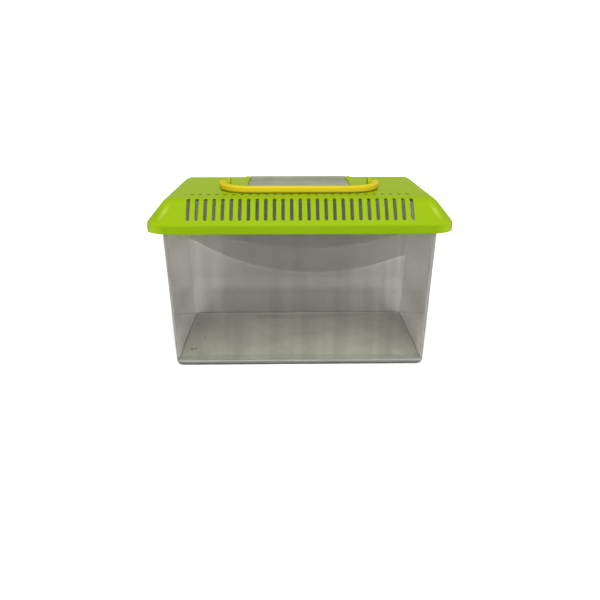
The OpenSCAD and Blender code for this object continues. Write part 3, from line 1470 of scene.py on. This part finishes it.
@dataclass
class Handle(Moulding):
    """The yellow bail: a grip, two bends, two legs, and a peg in each ear."""

    node: ClassVar[str] = "handle"
    slot: ClassVar[str] = "yellow_plastic"
    breadth: float = 5.6 * MM
    thickness: float = 5.4 * MM
    leg_step: float = 0.3 * MM  # by this a leg is slimmer than the grip, on each side
    edge_r: float = 1.7 * MM
    lean: float = math.radians(8)  # how far the legs splay
    bend_r: float = 24.0 * MM
    peg_r: float = 2.0 * MM
    peg_edge_r: float = 0.3 * MM
    peg_end: float = 55.66 * MM
    knuckle_start: float = 58.56 * MM
    knuckle_edge_r: float = 0.6 * MM
    knuckle_edge_steps: int = 4
    knuckle_sides: int = 40
    taper_l: float = 2.0 * MM
    bend_steps: int = 24
    edge_steps: int = 5

    def __post_init__(self) -> None:
        """Takes the handle's reach and its pivot from the frame."""
        low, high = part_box(self.node)
        self.pivot = joint_place("handle_pivot")
        self.half_w = high.x
        self.bar_y = low.y + self.breadth / 2
        self.reach = self.pivot.y - self.bar_y
        self.leg_x = self.half_w - self.breadth / 2

    def build(self) -> Solid:
        """Draws half the bar out from the middle, mirrors it and adds knuckles and pegs.

        Returns:
            The handle.
        """
        turn = QUARTER - self.lean
        run = self.bend_r * math.tan(turn / 2)
        bend_x = self.leg_x - self.reach * math.tan(self.lean) - run
        along = Vector((math.sin(self.lean), math.cos(self.lean), 0))
        leg_l = self.reach / math.cos(self.lean) - run - self.taper_l
        bar = self.section()
        with editing(bar):
            select_whole()
            draw_out((bend_x, 0, 0))
            bpy.ops.mesh.spin(
                steps=self.bend_steps,
                angle=-turn,
                center=(bend_x, self.bar_y + self.bend_r, self.pivot.z),
                axis=UP,
            )
            draw_out(along * self.taper_l)
            slim = 1 - 2 * self.leg_step / self.breadth
            bpy.ops.transform.resize(value=(slim, slim, slim))
            draw_out(along * leg_l)
            pick(bar, Part.FACES, lambda f, m: abs(m.x) < NEAR)
            bpy.ops.mesh.delete(type="FACE")
        treat(bar, "MIRROR", merge_threshold=WELD)
        face_outwards(bar)
        right = self.knuckle()
        for knuckle in (mirrored(right), right):
            work_in(bar, knuckle, Join.ADD)
        return bar

    def section(self) -> Solid:
        """Draws the grip's round-cornered cross-section in the middle of the grip.

        Returns:
            The cross-section, a single face.
        """
        deselect_all()
        bpy.ops.mesh.primitive_plane_add(
            size=1, location=(0, self.bar_y, self.pivot.z), rotation=(0, QUARTER, 0)
        )
        face = bpy.context.object
        face.scale = (self.thickness, self.breadth, 1)
        settle(face, "carry_handle")
        with editing(face):
            select_whole()
            bpy.ops.mesh.bevel(
                offset=self.edge_r, segments=self.edge_steps, affect="VERTICES", clamp_overlap=False
            )
        return face

    def knuckle(self) -> Solid:
        """Models the round knuckle at the end of a leg, with the peg that turns in the ear.

        Returns:
            The right-hand knuckle with its peg.
        """
        start, radius = self.knuckle_start, self.thickness / 2
        knuckle = add_pin("knuckle", radius, start, self.half_w, self.pivot, self.knuckle_sides)
        soften(knuckle, self.knuckle_edge_r, self.knuckle_edge_steps)
        peg = add_pin("peg", self.peg_r, self.peg_end, self.leg_x, self.pivot)
        soften(peg, self.peg_edge_r)
        work_in(knuckle, peg, Join.ADD)
        return knuckle

    def finish(self) -> bpy.types.Material:
        """Makes yellow plastic."""
        return YELLOW.make()


@dataclass
class Lid(Moulding):
    """The vented roof with the hatch's well, the hinge cheeks and the handle's ears."""

    node: ClassVar[str] = "lid"
    slot: ClassVar[str] = "lime_plastic"
    hatch: Hatch
    handle: Handle
    wall: float = 2.0 * MM
    corner_r: float = 19.0 * MM
    skirt_h: float = 6.4 * MM
    roof_rise: float = 17.7 * MM
    roof_run: float = 14.8 * MM
    crease_r: float = 8.0 * MM
    eaves_r: float = 3.0 * MM
    skirt_edge_r: float = 0.5 * MM
    edge_r: float = 0.3 * MM
    slot_w: float = 2.5 * MM
    slot_l: float = 19.2 * MM
    slot_start: float = 4.4 * MM  # how far up the slope, from the eaves
    slot_pitch: float = 6.35 * MM
    slot_margin: float = 17.0 * MM  # at least, from a row's last slot to the flat top's end
    hole_r: float = 1.5 * MM
    hole_inset: float = 18.3 * MM  # from the flat top's front edge
    cutter_sides: int = 20
    rib_t: float = 1.6 * MM
    rib_every: int = 4  # slots from one gusset to the next, outwards from the middle pair
    rib_inner: float = 9.2 * MM
    rib_gap: float = 0.3 * MM
    ledge_w: float = 3.0 * MM
    ledge_t: float = 1.6 * MM
    ledge_drop: float = 2.1 * MM
    well_r: float = 4.0 * MM
    hatch_gap: float = 0.4 * MM
    cheek_wall: float = 0.8 * MM
    ear_wall: float = 3.3 * MM
    tab_edge_r: float = 0.35 * MM
    tab_edge_steps: int = 3
    pin_play: float = 0.07 * MM
    move_gap: float = 0.3 * MM
    past: float = 6.0 * MM  # how far a cutter goes past what it cuts
    steps: int = 16  # strips round each upright corner
    bend_steps: int = 6  # strips over each rounded edge

    def __post_init__(self) -> None:
        """Takes the lid's size from the frame, and its well and ears from what they hold."""
        low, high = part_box(self.node)
        self.half_w, self.half_d, self.skirt_z = high.x, high.y, low.z
        self.axis_x, self.axis_y = self.half_w - self.corner_r, self.half_d - self.corner_r
        self.eaves_z = self.skirt_z + self.skirt_h
        self.top_z = self.eaves_z + self.roof_rise
        self.pitch = math.atan2(self.roof_rise, self.roof_run)
        self.rim_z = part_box(Tank.node)[1].z
        self.well_w = self.hatch.half_w + self.hatch_gap
        self.well_front = self.hatch.front - self.hatch_gap
        self.well_back = self.hatch.hinge.y + self.hatch.rod_r + self.hatch_gap
        self.ledge_z = self.top_z - self.ledge_drop

    def shell(self) -> Solid:
        """Carries the roof's profile round the four corners.

        Returns:
            The roof, still without vents.
        """
        crease, inside = self.corner_r - self.roof_run, self.corner_r - self.wall
        inner_eaves_z = self.eaves_z - self.wall * math.tan((QUARTER - self.pitch) / 2)
        inner_crease = crease - self.wall * math.tan(self.pitch / 2)
        turns = [
            Turn(0, self.top_z),
            Turn(crease, self.top_z, self.crease_r),
            Turn(self.corner_r, self.eaves_z, self.eaves_r),
            Turn(self.corner_r, self.skirt_z, self.skirt_edge_r),
            Turn(inside, self.skirt_z, self.skirt_edge_r),
            Turn(inside, inner_eaves_z, self.eaves_r - self.wall),
            Turn(inner_crease, self.top_z - self.wall, self.crease_r - self.wall),
            Turn(0, self.top_z - self.wall),
        ]
        roof = draw_profile("lid_shell", turns, (self.axis_x, self.axis_y, 0), self.bend_steps)
        carry_round(roof, self.axis_x, self.axis_y, self.steps)
        close_middle(roof, (self.top_z, self.top_z - self.wall))
        return roof

    def mid_roof(self, out: float) -> float:
        """Gives the height of the middle of the sloping wall, this far out from a corner axis."""
        inwards = self.corner_r - out - self.wall / 2 / math.sin(self.pitch)
        return self.eaves_z + inwards * math.tan(self.pitch)

    def row_length(self, half: float) -> int:
        """Gives how many slots stand on each side of the middle one."""
        return math.floor((half - self.roof_run - self.slot_margin) / self.slot_pitch)

    def row(self, half: float) -> list[float]:
        """Lists the places of the slots along one side."""
        count = self.row_length(half)
        return [place * self.slot_pitch for place in range(-count, count + 1)]

    def sides(self) -> Iterator[tuple[Matrix, float, float, float]]:
        """Gives each side's turn, its reach, its corner axis and half its length."""
        for side in range(4):
            across, along = (self.half_w, self.half_d) if side % 2 else (self.half_d, self.half_w)
            turn = Matrix.Rotation(side * QUARTER, MATRIX_SIZE, "Z")
            yield turn, across, across - self.corner_r, along

    def ribs(self) -> list[Solid]:
        """Models one gusset under the eaves and copies it between the slots of every side.

        Returns:
            The gussets.
        """
        outer = self.corner_r - self.wall / 2
        made = []
        for turn, _, axis, half in self.sides():
            foot, top = -axis - outer, self.mid_roof(self.rib_inner)
            low = (-self.rib_t / 2, foot, self.rim_z + self.rib_gap)
            rib = add_box("rib", low, (self.rib_t / 2, -axis - self.rib_inner, top))
            with editing(rib):
                pick(rib, Part.VERTS, lambda v, m: abs(m.z - top) < NEAR and m.y < foot + NEAR)
                bpy.ops.transform.translate(value=(0, 0, self.mid_roof(outer) - top))
            for step in range(0, self.row_length(half) + 1, self.rib_every):
                for way in (-1, 1):
                    shift = Matrix.Translation((way * (step + 0.5) * self.slot_pitch, 0, 0))
                    made.append(copy_at(rib, turn @ shift))
            bpy.data.objects.remove(rib)
        return made

    def slots(self) -> list[Solid]:
        """Models the cutter of one slot and copies it along all four slopes.

        Returns:
            The cutters.
        """
        end_r = self.slot_w / 2
        y = self.slot_start + end_r
        slot = add_rod("slot", end_r, (0, y, -self.past), (0, y, self.past), self.cutter_sides)
        with editing(slot):
            select_whole()
            bpy.ops.transform.rotate(
                value=math.pi / self.cutter_sides, orient_axis="Z", center_override=(0, y, 0)
            )
            pick(slot, Part.VERTS, lambda v, m: m.y > y)
            bpy.ops.transform.translate(value=(0, self.slot_l - self.slot_w, 0))
        made = []
        for turn, reach, _, half in self.sides():
            slope = turn @ Matrix.Translation((0, -reach, self.eaves_z))
            slope = slope @ Matrix.Rotation(self.pitch, MATRIX_SIZE, "X")
            made += [copy_at(slot, slope @ Matrix.Translation((x, 0, 0))) for x in self.row(half)]
        bpy.data.objects.remove(slot)
        return made

    def air_holes(self) -> list[Solid]:
        """Sets a round cutter above each front slot.

        Returns:
            The cutters.
        """
        y = self.hole_inset - (self.half_d - self.roof_run)
        low, high = self.top_z - self.past, self.top_z + self.past
        return [
            add_rod("air_hole", self.hole_r, (x, y, low), (x, y, high), self.cutter_sides)
            for x in self.row(self.half_w)
        ]

    def tab(self, name: str, radius: float, start: float, end: float, axis: Vector) -> Solid:
        """Models an upright tab with a round top, for a pin to turn in.

        Args:
            name: the new object's name.
            radius: the radius of its round top.
            start: the place of one side of the tab along X.
            end: the place of the other side.
            axis: a point on the pin's axis.

        Returns:
            The tab, with its foot inside the lid's plate.
        """
        made = add_pin(name, radius, start, end, axis)
        foot = self.top_z - self.wall / 2
        with editing(made):
            select_whole()
            bpy.ops.mesh.bisect(
                plane_co=axis, plane_no=(0, 0, -1), clear_outer=True, use_fill=True, threshold=NEAR
            )
            pick(made, Part.FACES, lambda f, m: abs(m.z - axis.z) < NEAR)
            draw_out((0, 0, foot - axis.z))
        face_outwards(made)
        return made

    def tabs(self) -> Solid:
        """Models the cheek and the ear of one side, and mirrors them to the other.

        Returns:
            The cheeks and ears, in one object.
        """
        hatch, handle = self.hatch, self.handle
        cheek_r = hatch.pin_r + self.pin_play + self.cheek_wall
        cheek_end = self.well_w + hatch.pin_l + 2 * self.hatch_gap
        cheek = self.tab("cheek", cheek_r, self.well_w, cheek_end, hatch.hinge)
        ear_r = handle.peg_r + self.pin_play + self.ear_wall
        ear_end = handle.knuckle_start - self.move_gap
        ear = self.tab("ear", ear_r, handle.peg_end, ear_end, handle.pivot)
        for tab in (cheek, ear):
            soften(tab, self.tab_edge_r, self.tab_edge_steps)
        return join_all([cheek, mirrored(cheek), ear, mirrored(ear)], "tabs")

    def pin_holes(self) -> Solid:
        """Models the cutters of the hinge's sockets and of the handle's bores.

        Returns:
            The cutters, in one object.
        """
        hatch, handle = self.hatch, self.handle
        end = hatch.half_w + hatch.pin_l + self.move_gap
        socket_r, bore_r = hatch.pin_r + self.pin_play, handle.peg_r + self.pin_play
        socket = add_pin("socket", socket_r, hatch.half_w - self.past, end, hatch.hinge)
        start, end = handle.peg_end - self.past, handle.knuckle_start + self.past
        bore = add_pin("bore", bore_r, start, end, handle.pivot)
        return join_all([socket, mirrored(socket), bore, mirrored(bore)], "pin_holes")

    def well(self, name: str, outwards: float, low: float, high: float, radius: float) -> Solid:
        """Models a block on the well's outline.

        Args:
            name: the new object's name.
            outwards: how far outside the well's outline it stands.
            low: the height of its underside.
            high: the height of its top.
            radius: the radius of its front corners.

        Returns:
            The block.
        """
        front, back = self.well_front - outwards, self.well_back + outwards
        return add_flap(name, self.well_w + outwards, front, back, low, high, radius)

    def build(self) -> Solid:
        """Makes the roof, then works the ribs, the well, the vents and the tabs into it.

        Returns:
            The lid.
        """
        roof = self.shell()
        under, over = self.ledge_z - self.ledge_t, self.top_z + self.past
        block = self.well("well", self.wall, under, self.top_z - self.wall / 2, self.well_r + self.wall)
        work_in(roof, join_all([block, *self.ribs()], "stiffening"), Join.ADD)
        work_in(roof, self.well("recess", 0.0, self.ledge_z, over, self.well_r), Join.CUT)
        way_in = self.well("way_in", -self.ledge_w, self.ledge_z - self.past, over, self.well_r)
        work_in(roof, join_all([way_in, *self.slots(), *self.air_holes()], "vents"), Join.CUT)
        soften(roof, self.edge_r)
        work_in(roof, self.tabs(), Join.ADD)
        work_in(roof, self.pin_holes(), Join.CUT)
        return roof

    def finish(self) -> bpy.types.Material:
        """Makes lime plastic."""
        return LIME.make()


# ---------------------------------------------------------------- studio


@dataclass
class Studio:
    """The pale floor, the soft lights and the camera.

    Attributes:
        camera_place: where the camera stands.
        camera_yaw: how far it is turned to the right.
        camera_pitch: how far it looks down.
        focal_length: its focal length, in dots of the picture.
        picture_width: the picture's width, in dots.
        floor_size: the breadth of the floor.
        floor_colour: its colour.
        horizon: how bright the sky is along the horizon.
        backdrop: how bright it is above that, behind the object.
        zenith: how bright it is elsewhere.
        horizon_fade: the heights between which the horizon's light fades out.
        backdrop_fade: the heights between which the backdrop gives way to the zenith.
        backdrop_side: how far round to the back the backdrop sets in and is full, from the side.
        key_height: how high the key light stands.
        key_breadth: how broad it is.
        key_strength: how strong it is.
    """

    camera_place: Place = (-8.36 * MM, -543.87 * MM, 215.07 * MM)
    camera_yaw: float = 0.017
    camera_pitch: float = 0.319
    focal_length: float = 653.83
    picture_width: float = 600.0
    floor_size: float = 12.0
    floor_colour: Colour = (0.9, 0.9, 0.9)
    horizon: float = 1.3
    backdrop: float = 0.25
    zenith: float = 0.68
    horizon_fade: Span = (math.radians(7), math.radians(12))
    backdrop_fade: Span = (math.radians(20), math.radians(45))
    backdrop_side: Span = (0.0, math.radians(25))
    key_height: float = math.radians(48)
    key_breadth: float = math.radians(30)
    key_strength: float = 4.0

    def build(self) -> None:
        """Sets up everything round the object."""
        self.sky()
        self.floor()
        self.key()
        self.camera()

    def sky(self) -> None:
        """Lights the scene from all round, whitest along the horizon and dimmest behind."""
        world = bpy.data.worlds.new("studio")
        bpy.context.scene.world = world
        bench = Bench(world, "Generated")
        ways = bench.add("SeparateXYZ", Vector=bench.place).outputs
        strength = self.zenith
        for way, fade, before in (
            ("Z", self.backdrop_fade, self.backdrop),
            ("Y", self.backdrop_side, self.zenith),
            ("Z", self.horizon_fade, self.horizon),
        ):
            ends = [math.sin(angle) for angle in fade]
            strength = bench.spread(ways[way], ends, before, strength, Ease.SOFT)
        light = bench.add("Background", Color=WHITE, Strength=strength)
        bench.add("OutputWorld", Surface=light.outputs[0])
        bpy.context.scene.view_settings.view_transform = "Standard"

    def floor(self) -> None:
        """Lays the floor."""
        deselect_all()
        bpy.ops.mesh.primitive_plane_add(size=self.floor_size)
        floor = bpy.context.object
        floor.name = "studio_floor"
        bench = Bench(bpy.data.materials.new("studio_floor"))
        floor.data.materials.append(bench.done(bench.add("BsdfDiffuse", Color=self.floor_colour)))

    def aim(self, yaw: float, pitch: float) -> Euler:
        """Works out how a light or camera that looks to the back is turned.

        Args:
            yaw: how far it is turned to the right.
            pitch: how far it is tipped down.

        Returns:
            Its turn.
        """
        flat = math.cos(pitch)
        way = Vector((flat * math.sin(yaw), flat * math.cos(yaw), -math.sin(pitch)))
        return way.to_track_quat("-Z", "Y").to_euler()

    def key(self) -> None:
        """Sets the broad soft light that falls from above the camera."""
        deselect_all()
        bpy.ops.object.light_add(type="SUN", rotation=self.aim(0.0, self.key_height))
        light = bpy.context.object
        light.name = "key_light"
        light.data.angle = self.key_breadth
        light.data.energy = self.key_strength

    def camera(self) -> None:
        """Sets the camera up and makes it the scene's own."""
        deselect_all()
        turn = self.aim(self.camera_yaw, self.camera_pitch)
        bpy.ops.object.camera_add(location=self.camera_place, rotation=turn)
        camera = bpy.context.object
        camera.data.lens = camera.data.sensor_width * self.focal_length / self.picture_width
        bpy.context.scene.camera = camera


def main() -> None:
    """Builds the pieces in order, then the studio round them."""
    logging.basicConfig(level=logging.INFO, format="%(name)s: %(message)s")
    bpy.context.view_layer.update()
    hatch, handle = Hatch(), Handle()
    for piece in (Tank(), Lid(hatch, handle), hatch, handle):
        made = piece.build()
        piece.dress(made)
        LOG.info("%s: %d faces", made.name, len(made.data.polygons))
    Studio().build()


if __name__ == "__main__":
    main()
